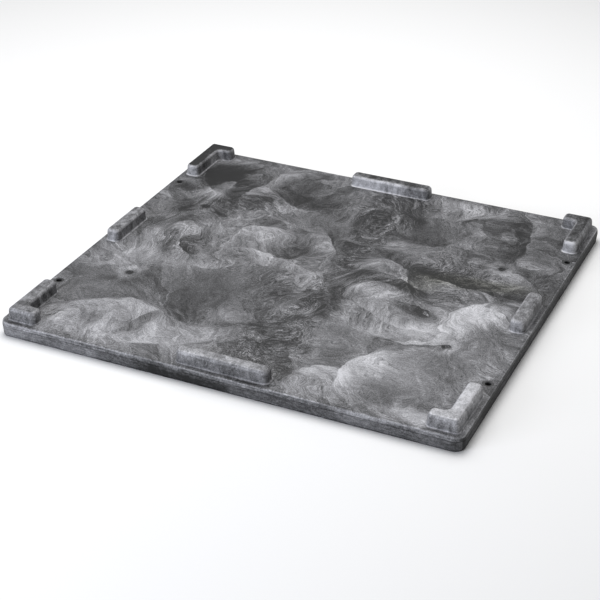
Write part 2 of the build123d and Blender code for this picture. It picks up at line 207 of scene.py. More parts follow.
# ---------------------------------------------------------------- marbled melt of the deck
# Places are metres from the deck's centre, turns are degrees from +X, tones are added to the melt's own.
# Soft pools of melt: centre x, y, half length, half breadth, turn, tone.
POOLS = (
    (-0.38, -0.51, 0.20, 0.05, 8, 0.09),
    (-0.12, -0.50, 0.12, 0.05, 0, 0.06),
    (-0.55, -0.30, 0.08, 0.14, 0, -0.03),
    (-0.44, -0.25, 0.07, 0.05, 0, -0.06),
    (-0.40, -0.10, 0.16, 0.05, 4, 0.09),
    (-0.28, -0.03, 0.06, 0.06, 0, -0.06),
    (-0.46, 0.04, 0.08, 0.07, 10, 0.10),
    (-0.53, 0.06, 0.04, 0.07, 0, -0.10),
    (-0.28, 0.13, 0.10, 0.07, -20, 0.03),
    (-0.44, 0.20, 0.10, 0.09, 15, -0.17),
    (-0.34, 0.31, 0.09, 0.06, 30, -0.13),
    (-0.48, 0.43, 0.10, 0.12, 25, -0.20),
    (-0.37, 0.41, 0.04, 0.06, 0, -0.08),
    (-0.50, 0.52, 0.07, 0.03, 30, 0.14),
    (-0.22, 0.30, 0.09, 0.04, 12, 0.08),
    (-0.07, 0.21, 0.08, 0.07, 0, -0.07),
    (-0.06, 0.40, 0.08, 0.16, -10, -0.02),
    (0.22, 0.52, 0.12, 0.04, -6, 0.14),
    (0.32, 0.45, 0.10, 0.05, 0, -0.03),
    (0.12, 0.40, 0.05, 0.08, 0, -0.10),
    (0.34, 0.20, 0.12, 0.06, 0, 0.02),
    (0.23, 0.11, 0.09, 0.07, 0, -0.10),
    (0.52, 0.40, 0.05, 0.14, 4, -0.06),
    (0.12, 0.02, 0.04, 0.06, 0, -0.12),
    (0.10, -0.13, 0.04, 0.10, 8, -0.20),
    (0.42, 0.33, 0.10, 0.04, 10, -0.06),
    (0.12, -0.27, 0.06, 0.08, 0, 0.00),
    (0.36, -0.17, 0.12, 0.05, 14, 0.14),
    (0.28, -0.20, 0.05, 0.06, 0, -0.06),
    (0.46, -0.06, 0.11, 0.07, 55, 0.20),
    (0.52, -0.26, 0.06, 0.14, 0, 0.05),
    (0.41, -0.38, 0.07, 0.12, 8, 0.06),
    (0.48, -0.53, 0.12, 0.035, 0, 0.22),
    (0.13, -0.40, 0.06, 0.10, 20, -0.01),
    (-0.09, -0.26, 0.06, 0.10, 10, 0.05),
    (0.585, 0.25, 0.03, 0.26, 0, -0.07),
    (0.20, 0.01, 0.06, 0.035, 10, -0.15),
    (0.12, -0.08, 0.05, 0.05, 0, -0.12),
    (0.36, -0.08, 0.04, 0.04, 0, 0.09),
    (0.51, 0.01, 0.06, 0.06, 0, -0.11),
    (0.53, 0.22, 0.04, 0.07, 0, -0.08),
    (-0.49, 0.09, 0.08, 0.06, 0, -0.09),
    (-0.54, 0.32, 0.05, 0.05, 0, -0.11),
    (0.20, -0.49, 0.04, 0.03, 0, -0.09),
    (-0.28, -0.48, 0.04, 0.04, 0, -0.10),
    (-0.36, -0.08, 0.05, 0.03, 0, -0.08),
    (-0.04, 0.32, 0.05, 0.04, 0, -0.07),
    (-0.04, 0.16, 0.05, 0.04, 0, -0.07),
    (0.12, 0.16, 0.05, 0.04, 0, -0.09),
    (-0.12, -0.32, 0.05, 0.04, 0, 0.10),
    (-0.44, 0.41, 0.05, 0.04, 0, -0.09),
    (-0.26, 0.08, 0.07, 0.05, 0, -0.05),
    (-0.04, -0.12, 0.04, 0.04, 0, -0.05),
)

# Laps, where a front of melt set with a crisp edge facing along its turn and a soft back:
# centre x, y, half reach along the turn, half breadth, turn, tone.
LAPS = (
    (-0.40, -0.45, 0.10, 0.15, 118, 0.17),
    (-0.20, -0.43, 0.07, 0.13, -62, 0.17),
    (-0.30, -0.45, 0.02, 0.07, 165, -0.15),
    (-0.17, -0.22, 0.16, 0.20, -92, -0.10),
    (-0.52, -0.12, 0.08, 0.10, -50, 0.10),
    (-0.37, -0.02, 0.018, 0.06, -140, -0.22),
    (-0.27, -0.07, 0.03, 0.08, -70, 0.09),
    (-0.42, 0.10, 0.09, 0.07, 100, 0.10),
    (-0.22, 0.10, 0.07, 0.08, 130, 0.13),
    (-0.12, 0.09, 0.07, 0.06, -60, -0.20),
    (-0.05, 0.15, 0.03, 0.07, 40, 0.17),
    (-0.14, 0.00, 0.03, 0.13, 80, 0.16),
    (0.01, -0.07, 0.04, 0.06, 10, 0.18),
    (-0.45, 0.33, 0.075, 0.032, 78, 0.34),
    (-0.47, 0.39, 0.05, 0.10, -130, -0.12),
    (-0.20, 0.41, 0.08, 0.13, -110, -0.16),
    (-0.33, 0.40, 0.03, 0.13, 165, 0.15),
    (-0.03, 0.26, 0.07, 0.20, -95, 0.00),
    (-0.24, 0.52, 0.03, 0.10, 120, 0.10),
    (0.20, 0.34, 0.09, 0.08, -60, -0.12),
    (0.42, 0.40, 0.04, 0.15, 12, -0.17),
    (0.20, 0.47, 0.04, 0.12, -70, 0.10),
    (0.42, 0.10, 0.03, 0.17, -95, -0.20),
    (0.27, 0.05, 0.03, 0.09, -150, -0.16),
    (0.17, 0.08, 0.05, 0.08, 60, 0.12),
    (0.19, 0.02, 0.04, 0.10, 80, -0.20),
    (0.49, 0.18, 0.025, 0.06, 60, 0.15),
    (0.19, -0.04, 0.05, 0.06, 110, 0.24),
    (0.29, -0.08, 0.025, 0.07, 80, -0.18),
    (0.27, -0.12, 0.04, 0.12, -105, 0.13),
    (0.47, -0.04, 0.05, 0.10, 140, 0.16),
    (0.33, -0.19, 0.05, 0.13, -80, 0.17),
    (0.31, -0.40, 0.055, 0.12, 166, 0.30),
    (0.22, -0.47, 0.05, 0.07, 120, 0.22),
    (0.15, -0.38, 0.04, 0.08, -170, 0.11),
    (0.03, -0.20, 0.03, 0.05, -90, 0.18),
)

# Thin light flow lines, arcs of circles: centre x, y, radius, middle bearing, half span, width, tone.
FLOW_LINES = (
    (0.62, -0.32, 0.20, 195, 55, 0.006, 0.13),
    (-0.17, -0.20, 0.17, -110, 55, 0.006, 0.12),
    (-0.45, -0.38, 0.13, 115, 60, 0.007, 0.16),
    (-0.56, -0.28, 0.14, 60, 50, 0.008, 0.10),
    (0.33, -0.10, 0.06, 60, 110, 0.008, 0.16),
    (0.20, -0.02, 0.09, 70, 60, 0.006, 0.10),
    (-0.30, 0.20, 0.14, -60, 50, 0.006, 0.12),
    (0.12, 0.30, 0.14, -50, 50, 0.005, -0.12),
    (-0.36, 0.43, 0.08, -20, 60, 0.006, 0.12),
    (-0.44, 0.04, 0.05, 60, 90, 0.006, 0.14),
    (0.42, 0.45, 0.10, -150, 60, 0.006, -0.12),
    (0.20, -0.35, 0.10, -140, 60, 0.006, 0.10),
)

# Olive stained melt: centre x, y, half length, half breadth, turn, share.
OLIVE = (
    (0.40, 0.11, 0.16, 0.04, 4, 0.7),
    (0.28, 0.06, 0.06, 0.06, 0, 0.4),
)

# Tones of the single lugs: centre x, y, half length, half breadth, turn, tone.
LUG_TONES = (
    (-0.56, -0.50, 0.20, 0.20, 0, 0.02),
    (0.00, -0.54, 0.20, 0.10, 0, 0.10),
    (0.55, -0.50, 0.20, 0.20, 0, 0.30),
    (0.00, 0.54, 0.20, 0.10, 0, -0.19),
    (-0.56, 0.48, 0.20, 0.20, 0, -0.42),
    (0.57, 0.48, 0.20, 0.20, 0, -0.18),
    (-0.57, 0.00, 0.06, 0.12, 0, -0.05),
    (0.57, 0.00, 0.06, 0.12, 0, 0.07),
)

# Painted light and shade on single flanks of the lugs (the back right lug's near end also pale from
# damage): centre x, y, half length, half breadth, turn, tone.
FLANK_PAINTED_LIGHT_AND_SHADE = (
    (-0.04, 0.510, 0.14, 0.016, 0, 0.36),
    (0.573, -0.090, 0.04, 0.018, 0, 0.22),
    (-0.573, -0.090, 0.04, 0.018, 0, 0.26),
    (-0.573, 0.375, 0.04, 0.018, 0, 0.26),
    (0.573, 0.375, 0.04, 0.018, 0, 0.42),
    (0.00, -0.556, 0.14, 0.014, 0, -0.10),
    (-0.545, -0.44, 0.012, 0.08, 0, -0.10),
    (-0.545, 0.46, 0.012, 0.08, 0, 0.14),
    (-0.50, 0.51, 0.05, 0.02, 0, 0.20),
)

# Calm, nearly even melt: centre x, y, half length, half breadth, turn, strength.
CALM = (
    (-0.17, -0.20, 0.18, 0.13, 20, 1.0),
    (-0.50, -0.30, 0.13, 0.10, 0, 0.8),
    (0.20, -0.32, 0.10, 0.12, 0, 0.8),
    (0.40, -0.38, 0.08, 0.12, 0, 0.9),
    (-0.05, 0.26, 0.18, 0.06, 0, 0.8),
    (0.20, 0.34, 0.07, 0.10, 0, 0.8),
    (-0.48, 0.44, 0.08, 0.10, 20, 0.7),
    (-0.20, 0.41, 0.11, 0.07, 0, 0.6),
    (-0.33, -0.12, 0.20, 0.04, 0, 0.6),
    (0.52, -0.22, 0.05, 0.14, 0, 0.7),
    (-0.54, 0.17, 0.05, 0.08, 0, 0.6),
    (0.49, 0.38, 0.05, 0.16, 0, 0.5),
)

# Crumpled, finely torn melt: centre x, y, half length, half breadth, turn, strength.
TORN = (
    (0.07, 0.38, 0.10, 0.14, 0, 1.0),
    (0.03, -0.38, 0.09, 0.20, 0, 1.0),
    (-0.36, 0.27, 0.10, 0.06, 30, 0.7),
    (-0.41, 0.02, 0.08, 0.07, 0, 0.8),
    (-0.07, -0.12, 0.07, 0.14, 0, 0.6),
    (0.32, 0.15, 0.16, 0.09, 0, 0.8),
    (0.30, 0.50, 0.16, 0.06, 0, 0.5),
    (0.38, 0.02, 0.08, 0.06, 0, 0.6),
    (-0.23, 0.29, 0.08, 0.06, 0, 0.5),
    (-0.53, -0.45, 0.05, 0.06, 0, 0.7),
)

GATE_X = 0.4406
GATE_Y = 0.2155
WELD_X = 0.058

# Drifts that carry the melt aside: ripples per metre, reach in metres, detail.
WIDE_DRIFT = (10.0, 0.06, 3.0)
FINE_DRIFT = (45.0, 0.014, 3.0)
SWIRL_DRIFT = (5.0, 0.16, 2.0)
SHARD_DRIFT = (22.0, 0.035, 3.0)
CURL_DRIFT = (24.0, 0.030, 3.0)
CRACK_DRIFT = (70.0, 0.010, 2.0)
GATE_DRIFT = (40.0, 0.006, 2.0)
OLIVE_DRIFT = (10.0, 0.05, 2.0)
RELIEF_DRIFT = (30.0, 0.02, 2.0)
SIDE_DRIFT = (9.0, 0.012, 3.0)
SIDE_PATCH_DRIFT = (12.0, 0.05, 2.0)
BASE_DRIFT = (10.0, 0.07, 2.0)
BASE_FINE_DRIFT = (40.0, 0.02, 3.0)
LUG_DRIFT = (14.0, 0.06, 2.0)
LUG_FINE_DRIFT = (50.0, 0.016, 3.0)
CRYSTAL_DRIFT = (60.0, 0.006, 2.0)
HANDLING_DRIFT = (50.0, 0.02, 2.0)

# Noises: spots per metre, detail, roughness.
CRACKS = (34.0, 6.0, 0.75)
CLOUDS = (9.0, 7.0, 0.72)
THREADS = (62.0, 4.0, 0.7)
FOLDS = (4.0, 2.0, 0.5)
WELD_SWAY = (5.0, 3.0, 0.5)
PITTING = (300.0, 3.0, 0.7)
CRUMPLES = (40.0, 5.0, 0.7)
SIDE_PATCHES = (7.0, 4.0, 0.62)
BASE_CLOUDS = (8.0, 5.0, 0.66)
LUG_CLOUDS = (13.0, 5.0, 0.68)
ZINC_FERNS = (340.0, 3.0, 0.7)
ZINC_DULLNESS = (9.0, 5.0, 0.65)
SCREW_STAINS = (260.0, 4.0, 0.6)
MOULD_TEXTURE = (900.0, 3.0, 0.6)
HANDLING_MARKS = (70.0, 5.0, 0.7)

# Drawn-out noises: ripples per metre along each axis, detail, roughness.
SIDE_LINES = ((5.0, 5.0, 190.0), 4.0, 0.6)
SIDE_SPECKLES = ((70.0, 70.0, 150.0), 5.0, 0.7)
LUG_STREAKS = ((70.0, 70.0, 14.0), 4.0, 0.6)
LUG_SCUFFS = ((90.0, 60.0, 60.0), 5.0, 0.7)
ROLLED_LINES = ((40.0, 40.0, 900.0), 3.0, 0.5)

# Skewed noises of the melt: ripples per metre of X and Y in each of two directions, then the noise.
STREAK_ALONG = (60.0, 30.0)
STREAK_ACROSS = (-6.0, 9.0)
STREAKS = (1.0, 5.0, 0.62)
SCRATCH_ALONG = (120.0, 40.0)
SCRATCH_ACROSS = (-60.0, 320.0)
SCRATCHES = (1.0, 4.0, 0.7)

# A pool fades from its heart to its rim, both in its half sizes.
POOL_RIM = 1.3
POOL_HEART = 0.3

LAP_BACK = 0.55                 # softness at a lap's middle, and how fast it crispens ahead
LAP_CRISP = 0.05                # least softness, at its front
LAP_MIDDLE = 0.65               # share of its tone at its middle
LAP_SLOPE = 0.35                # what the tone gains towards its front
LAP_DRAG = 0.09                 # metres that it drags the melt behind it
LINE_TAPER = 0.25               # fading of a flow line's ends, in cosine of bearing

SHARDS_PER_METRE = 9.0
SHARD_SHIFT = 0.10
SHARD_STRETCH = (1.0, 1.6, 1.0)
FOLD_COUNT = 5.0
FOLD_RISE = (0.0, 0.95)
FOLD_DROP = (1.0, 0.96)
FOLD_MEAN = 0.4

# The weld is narrow by the middle of the deck and broad towards the front and back.
WELD_WAIST_Y = -0.02
WELD_SPREAD = (0.10, 0.36, 0.030, 0.085)
WELD_SLANT = 0.02
WELD_SLANT_Y = -0.05
WELD_WANDER = 0.11
WELD_RAGGED = 2.4
WELD_FADE = (1.15, 0.45)

# The melt's tone: its mean, and what each feature adds or takes away.
MELT_MEAN = 0.445
FOLD_TONE = 0.09
STREAK_TONE = 0.40
CLOUD_TONE = 0.58
CRACK_TONE = 0.60
VEIN_TONE = 0.07
THREAD_TONE = 0.08
WELD_TONE = 0.06
SCRATCH_TONE = 0.75
SCORE_TONE = 0.14               # the deepest scratches
SCRATCH_LIFT = 0.02
CALM_EVENS = 0.62               # how far calm melt evens out folds, streaks and clouds
CALM_SMOOTHS = 0.45             # and how far it has lost its scratches
TORN_ROUGHENS = 0.5
LINE_COVER = (0.40, 0.64, 0.0, 0.7)     # flow lines break up where the clouds are dark
VEIN_EDGE = (0.06, 0.0)
THREAD_EDGE = (0.035, 0.0)
SCORE_EDGE = (0.44, 0.32)
ROUGH_COVER = (0.40, 0.62, 0.45, 1.0)

# Gates: metres from the centre of one.
HALO_R = 0.026
HALO_BREADTH = 0.024
HALO_TONE = 0.10
STUB_EDGE = (0.015, 0.006)
STUB_TONE = 0.22

# How far up a face looks where it turns over an edge, and where it has turned flat.
EDGE_TURNS = (0.10, 0.42)
EDGE_FLATTENS = (0.99, 0.86)

# Deck.
FLAT_TOP = (0.25, 0.75)         # how far up a face has to look to have the deck's marbling
DECK_MEAN = 0.44
DECK_LEVEL = 0.400
DECK_CONTRAST = 1.31
# Painted highlight where the rim rounds over, near the deck's edge.
RIM_PAINTED_HIGHLIGHT = (0.012, 0.006)
RIM_PAINTED_HIGHLIGHT_TONE = 0.17
RIM_SHADE = (0.016, 0.007)
RIM_SHADE_TONE = 0.03
# Painted highlight line on the deck just inside the rim.
RIM_PAINTED_HIGHLIGHT_LINE = 0.0105
RIM_PAINTED_HIGHLIGHT_LINE_BREADTH = 0.0018
RIM_PAINTED_HIGHLIGHT_LINE_TONE = 0.05
DECK_PITTING_TONE = 0.66
DECK_TONES = (0.13, 0.92)       # darkest and lightest

# Edges of the two shells.
SIDE_MEAN = 0.43
SIDE_LINE_TONE = 0.32
SIDE_PATCH_TONE = 0.80
SIDE_SPECKLE_TONE = 0.60
# Painted light and shade on the shells' edges: light towards the front left, shade low in the middle of
# the front, light above and shade below the seam at the right front, shade on the right side.
LEFT_FRONT_PAINTED_LIGHT = (-0.15, -0.55, 0.0, 0.07)
MIDDLE_FRONT_X = -0.08
MIDDLE_FRONT = (0.30, 0.05)
MIDDLE_FRONT_PAINTED_SHADE = (SEAM_Z + 0.004, SEAM_Z - 0.008, -0.03, -0.24)
RIGHT_FRONT = (0.1, 0.5)
RIGHT_FRONT_PAINTED_LIGHT_AND_SHADE = (SEAM_Z - 0.004, SEAM_Z + 0.006, -0.04, 0.07)
RIGHT_SIDE_PAINTED_SHADE = (HALF_X - 0.012, HALF_X - 0.002, 0.0, -0.18)
SEAM_SHADE = (0.0022, 0.0006, 0.0, -0.08)

# Base.
BASE_MEAN = 0.34
BASE_CLOUD_TONE = 0.6
BASE_DARKER = 0.05
BASE_INSIDE = (0.003, 0.006)    # metres in from the side to where the rib melt shows
# Painted shade low on upright faces near the floor.
FOOT_PAINTED_SHADE = (0.006, 0.001)
FOOT_PAINTED_SHADE_TONE = 0.20
FOOT_FLAT = (0.8, 0.95)
BASE_PITTING_TONE = 0.50
BASE_TONES = (0.10, 0.80)

# Lugs.
LUG_MEAN = 0.45
LUG_CLOUD_TONE = 0.75
LUG_STREAK_TONE = 0.60
LUG_SCUFF_MEAN = 0.48
# Painted highlight on the lugs' rounded edges and round their foot.
LUG_EDGE_PAINTED_HIGHLIGHT = 0.12
LUG_FOOT_PAINTED_HIGHLIGHT = 0.05
LUG_PITTING_TONE = 0.70
LUG_TOP_FLAT = (0.7, 0.95)
LUG_TOP_RISE = (DECK_TOP + 0.02, LUG_TOP)
LUG_FOOT_RISE = (DECK_TOP + 0.006, DECK_TOP + 0.002)
LUG_TOP_CALMS = 0.6             # how far the top has lost its streaks
SCUFFED_FLANK = 0.5             # share of scuffs on the flanks, and what the top adds
SCUFFED_TOP = 0.4
TONED_FLANK = 0.25              # share of a lug's own tone on its flanks, and what the top adds
TONED_TOP = 0.75
FLANK_EVEN = 0.6                # share of a flank's painted light and shade, even and in clouds
FLANK_CLOUDED = 0.8
LUG_TONE_RANGE = (0.15, 0.92)

# Roughness of the melt, and what pits add and light melt takes away.
DECK_ROUGHNESS = 0.52
PIT_ROUGHNESS = 0.12
BASE_ROUGHNESS = 0.70
LUG_ROUGHNESS = 0.60
LIGHT_POLISH = 0.2

# Relief: depth in metres and strength, then each feature's share of the height.
DECK_RELIEF = (0.0012, 0.5)
BASE_RELIEF = (0.0008, 0.5)
LUG_RELIEF = (0.0009, 0.5)
ZINC_RELIEF = (0.0002, 0.4)
SCREW_RELIEF = (0.00015, 0.4)
MOULD_RELIEF = (0.0003, 0.5)
PIT_HEIGHT = 0.35
CRUMPLE_HEIGHT = 0.35
WELD_CRUMPLE_HEIGHT = 0.8
WELD_CRUMPLE_EDGE = (0.11, 0.03)
BASE_PIT_HEIGHT = 0.4
BASE_MELT_HEIGHT = 0.6
SCUFF_HEIGHT = 0.4
CLOUD_HEIGHT = 0.25
FERN_HEIGHT = 0.5
CRYSTAL_HEIGHT = 0.5
ROLLED_HEIGHT = 0.6
STAIN_HEIGHT = 0.4
TEXTURE_HEIGHT = 0.7
MARK_HEIGHT = 0.3

# Galvanised steel.
CRYSTALS_PER_METRE = 110.0
CRYSTAL_STRETCH = (1.0, 1.4, 1.4)
ZINC_MEAN = 0.44
CRYSTAL_TONE = 0.16
FERN_TONE = 0.14
DULL_EDGE = (0.5, 0.7)
DULL_TONE = 0.12
ZINC_ROUGHNESS = 0.34
CRYSTAL_ROUGHNESS = 0.14
DULL_ROUGHNESS = 0.2

# Zinc plated screws.
PLATED_MEAN = 0.52
ROLLED_TONE = 0.25
STAIN_EDGE = (0.5, 0.72)
STAIN_TONE = 0.20
PLATED_ROUGHNESS = 0.30
STAIN_ROUGHNESS = 0.25

# Dark mouldings: tone of the plastic and of the dust on it.
PLUG_BLACK = (0.018, 0.05)
SLEEVE_GREY = (0.030, 0.06)
TEXTURE_TONE = 0.03
DUST_EDGE = (0.52, 0.75)
MOULD_ROUGHNESS = 0.45
DUST_ROUGHNESS = 0.3
TEXTURE_ROUGHNESS = 0.1

MELT_GLOSS = 0.3
MELT_GAIN = 0.70                # share of light that melt of tone 1 gives back
COOL_GREY = (0.985, 0.985, 1.03)
OLIVE_GREY = (1.0, 1.0, 0.88)
ZINC_TINT = (0.97, 1.0, 1.04)
PLATED_TINT = (1.02, 1.0, 0.93)
MOULDED_TINT = (1.0, 1.0, 1.04)


def pools(finish, place, places):
    """Sum of soft pools, each of its own tone or strength."""
    total = 0.0
    for x, y, long, broad, turn, tone in places:
        reach = finish.length(finish.local(place, x, y, long, broad, turn))
        total = total + reach.ramp(POOL_RIM, POOL_HEART, 0.0, tone)
    return total


def laps(finish, place):
    """Sum of the lap fronts, each strongest just behind its crisp edge, and how far they drag the melt."""
    total = 0.0
    drag_x = 0.0
    drag_y = 0.0
    for x, y, reach, broad, turn, tone in LAPS:
        spot = finish.local(place, x, y, reach, broad, turn)
        ahead = finish.ahead(spot)
        softness = (LAP_BACK - ahead * LAP_BACK).most(LAP_CRISP)
        mask = finish.length(spot).ramp(1.0 + softness, 1.0 - softness)
        total = total + mask * (ahead * LAP_SLOPE + LAP_MIDDLE) * tone
        drag_x = drag_x + mask * (-LAP_DRAG * math.cos(math.radians(turn)))
        drag_y = drag_y + mask * (-LAP_DRAG * math.sin(math.radians(turn)))
    return total, finish.combine(drag_x, drag_y)


def flow_lines(finish, place):
    """Sum of the thin light and dark lines along the flow."""
    total = 0.0
    for x, y, radius, bearing, span, width, tone in FLOW_LINES:
        spot = finish.local(place, x, y, radius, radius, bearing)
        away = finish.length(spot)
        line = abs(away - 1.0).ramp(width / radius, 0.0)
        end = math.cos(math.radians(span))
        total = total + line * (finish.ahead(spot) / away).ramp(end, end + LINE_TAPER) * tone
    return total


def gate_distance(finish, place):
    """Distance to the nearest of the four gates."""
    quarter = finish.vector("ABSOLUTE", place)
    from_gate = finish.vector("SUBTRACT", quarter, (GATE_X, GATE_Y, 0.0))
    return finish.length(finish.vector("MULTIPLY", from_gate, (1.0, 1.0, 0.0)))


def shards(finish, place):
    """Carry each crisp-edged patch of melt aside by an amount of its own."""
    tints = finish.cell_tints(finish.vector("MULTIPLY", place, SHARD_STRETCH), SHARDS_PER_METRE)
    return finish.shifted(place, tints, SHARD_SHIFT)


def weld_band(finish, place, crack):
    """Rough, cracked band where the melt from the left and right gates met."""
    x, y = finish.split(place)[:2]
    sway = finish.noise(finish.vector("MULTIPLY", place, (0.0, 1.0, 0.0)), *WELD_SWAY).swing()
    breadth = abs(y - WELD_WAIST_Y).ramp(*WELD_SPREAD)
    across = abs(x - WELD_X + (y - WELD_SLANT_Y) * WELD_SLANT + sway * WELD_WANDER) / breadth
    return (across + crack.swing() * WELD_RAGGED).ramp(*WELD_FADE)


def skewed(finish, vector, along, across):
    """Place in the flat, counted in ripples along two directions."""
    x, y = finish.split(vector)[:2]
    return finish.combine(x * along[0] + y * along[1], x * across[0] + y * across[1])


def melt_tone(finish):
    """Marbling of the foamed melt as a tone of about 0 to 1."""
    flat = finish.vector("MULTIPLY", finish.place, (1.0, 1.0, 0.0))
    near = finish.warped(flat, *WIDE_DRIFT)
    lap_tone, drag = laps(finish, finish.warped(near, *FINE_DRIFT))
    swirl = finish.warped(finish.vector("ADD", near, drag), *SWIRL_DRIFT)
    curl = finish.warped(shards(finish, finish.warped(swirl, *SHARD_DRIFT)), *CURL_DRIFT)
    crack = finish.noise(finish.warped(curl, *CRACK_DRIFT), *CRACKS)
    cloud = finish.noise(curl, *CLOUDS)
    streak = finish.noise(skewed(finish, curl, STREAK_ALONG, STREAK_ACROSS), *STREAKS)
    scratch = finish.noise(skewed(finish, curl, SCRATCH_ALONG, SCRATCH_ACROSS), *SCRATCHES)
    thread = abs(finish.noise(curl, *THREADS).swing()).ramp(*THREAD_EDGE)
    vein = abs(crack.swing()).ramp(*VEIN_EDGE)
    fold = finish.noise(swirl, *FOLDS) * FOLD_COUNT % 1.0
    step = fold.ramp(*FOLD_RISE) * fold.ramp(*FOLD_DROP)
    weld = weld_band(finish, near, crack)
    torn = (pools(finish, near, TORN) + weld).least(1.0)
    calm = pools(finish, near, CALM).least(1.0)
    lively = 1.0 - calm * CALM_EVENS
    rough = cloud.ramp(*ROUGH_COVER) * (1.0 - calm * CALM_SMOOTHS) + torn * TORN_ROUGHENS
    marbled = (step - FOLD_MEAN) * FOLD_TONE + streak.swing() * STREAK_TONE + cloud.swing() * CLOUD_TONE
    tone = MELT_MEAN + marbled * lively
    tone = tone + pools(finish, near, POOLS) + lap_tone
    tone = tone + flow_lines(finish, near) * cloud.ramp(*LINE_COVER)
    tone = tone + torn * (crack.swing() * CRACK_TONE - vein * VEIN_TONE - thread * THREAD_TONE)
    tone = tone - weld * WELD_TONE
    scored = scratch.swing() * SCRATCH_TONE - scratch.ramp(*SCORE_EDGE) * SCORE_TONE
    return tone + (scored - thread * THREAD_TONE + SCRATCH_LIFT) * rough


def pitting(finish):
    """Fine pits of the foam's skin."""
    return finish.noise(finish.place, *PITTING)


def gate_marks(finish, tone):
    """Dark stub and pale halo round each gate."""
    away = gate_distance(finish, finish.warped(finish.place, *GATE_DRIFT))
    halo = abs(away - HALO_R).ramp(HALO_BREADTH, 0.0)
    return tone + halo * HALO_TONE - away.ramp(*STUB_EDGE) * STUB_TONE


def rounded(up):
    """Where a surface turns over an edge or out of a corner."""
    return up.ramp(*EDGE_TURNS) * up.ramp(*EDGE_FLATTENS)


def side_streaks(finish):
    """Melt drawn out along the edge of a shell: lines that run level, speckles, and patches of tone."""
    lines = finish.drawn(finish.warped(finish.place, *SIDE_DRIFT), *SIDE_LINES)
    speckle = finish.drawn(finish.place, *SIDE_SPECKLES)
    patches = finish.noise(finish.warped(finish.place, *SIDE_PATCH_DRIFT), *SIDE_PATCHES)
    drawn_out = lines.swing() * SIDE_LINE_TONE + patches.swing() * SIDE_PATCH_TONE
    return drawn_out + speckle.swing() * SIDE_SPECKLE_TONE


def side_tone(finish):
    """Tone of both shells' edges: painted light at the front left, painted shade low in the middle and on
    the right, with painted light above the seam at the right front.
    """
    x = finish.x
    z = finish.z
    # painted light at the front left, painted shade low in the middle, painted light and shade at the
    # right front, painted shade on the right side
    left = x.ramp(*LEFT_FRONT_PAINTED_LIGHT)
    middle = abs(x - MIDDLE_FRONT_X).ramp(*MIDDLE_FRONT) * z.ramp(*MIDDLE_FRONT_PAINTED_SHADE)
    right = x.ramp(*RIGHT_FRONT) * z.ramp(*RIGHT_FRONT_PAINTED_LIGHT_AND_SHADE)
    painted_right_shade = x.ramp(*RIGHT_SIDE_PAINTED_SHADE)
    seam = abs(z - SEAM_Z).ramp(*SEAM_SHADE)
    return SIDE_MEAN + side_streaks(finish) + left + middle + right + painted_right_shade + seam


def edge_distance(finish):
    """Distance in from the nearest side of the footprint."""
    return (HALF_X - abs(finish.x)).least(HALF_Y - abs(finish.y))


def foam_relief(finish, pits):
    """Height of the foam's skin: pits all over, and crumples along the weld of the melt."""
    crumple = finish.noise(finish.warped(finish.place, *RELIEF_DRIFT), *CRUMPLES)
    weld = abs(finish.x - WELD_X).ramp(*WELD_CRUMPLE_EDGE)
    return pits * PIT_HEIGHT + crumple * (weld * WELD_CRUMPLE_HEIGHT + CRUMPLE_HEIGHT)


def held(tone, tones):
    """Tone kept between its darkest and its lightest."""
    darkest, lightest = tones
    return tone.most(darkest).least(lightest)


def deck_finish():
    """Marbled top of the deck, streaked edge below it, painted highlights and painted shade along the rim
    between them.
    """
    finish = Finish("marbled_deck")
    flow = gate_marks(finish, melt_tone(finish))
    pits = pitting(finish)
    up = finish.facing_up()
    top = up.ramp(*FLAT_TOP)
    edge = side_tone(finish)
    rim = edge_distance(finish)
    tone = edge + (flow - edge) * top
    tone = DECK_LEVEL + (tone - DECK_MEAN) * DECK_CONTRAST
    # painted highlight on the rounded rim
    tone = tone + rounded(up) * rim.ramp(*RIM_PAINTED_HIGHLIGHT) * RIM_PAINTED_HIGHLIGHT_TONE
    tone = tone - rim.ramp(*RIM_SHADE) * top * RIM_SHADE_TONE
    # painted highlight line just inside the rim
    tone = tone + abs(rim - RIM_PAINTED_HIGHLIGHT_LINE).ramp(RIM_PAINTED_HIGHLIGHT_LINE_BREADTH, 0.0) * top * RIM_PAINTED_HIGHLIGHT_LINE_TONE
    tone = held(tone + pits.swing() * DECK_PITTING_TONE, DECK_TONES)
    olive = pools(finish, finish.warped(finish.place, *OLIVE_DRIFT), OLIVE)
    return finish.drive(
        Base_Color=finish.tinted(tone * tone * MELT_GAIN, COOL_GREY, OLIVE_GREY, olive),
        Roughness=DECK_ROUGHNESS + pits * PIT_ROUGHNESS,
        Specular_IOR_Level=MELT_GLOSS,
        Normal=finish.bump(foam_relief(finish, pits), *DECK_RELIEF),
    )


def base_finish():
    """Same melt, darker and plainer, with painted shade along its bottom edge and at the seam."""
    finish = Finish("marbled_base")
    pits = pitting(finish)
    inside = edge_distance(finish).ramp(*BASE_INSIDE)
    curl = finish.warped(finish.warped(finish.place, *BASE_DRIFT), *BASE_FINE_DRIFT)
    melt = BASE_MEAN + finish.noise(curl, *BASE_CLOUDS).swing() * BASE_CLOUD_TONE
    edge = side_tone(finish) - BASE_DARKER
    upright = 1.0 - abs(finish.facing_up()).ramp(*FOOT_FLAT)
    tone = edge + (melt - edge) * inside
    # painted shade along the bottom edge
    tone = tone - finish.z.ramp(*FOOT_PAINTED_SHADE) * FOOT_PAINTED_SHADE_TONE * upright
    tone = held(tone + pits.swing() * BASE_PITTING_TONE, BASE_TONES)
    return finish.drive(
        Base_Color=finish.tinted(tone * tone * MELT_GAIN, COOL_GREY),
        Roughness=BASE_ROUGHNESS - tone * LIGHT_POLISH,
        Specular_IOR_Level=MELT_GLOSS,
        Normal=finish.bump(pits * BASE_PIT_HEIGHT + melt * BASE_MELT_HEIGHT, *BASE_RELIEF),
    )


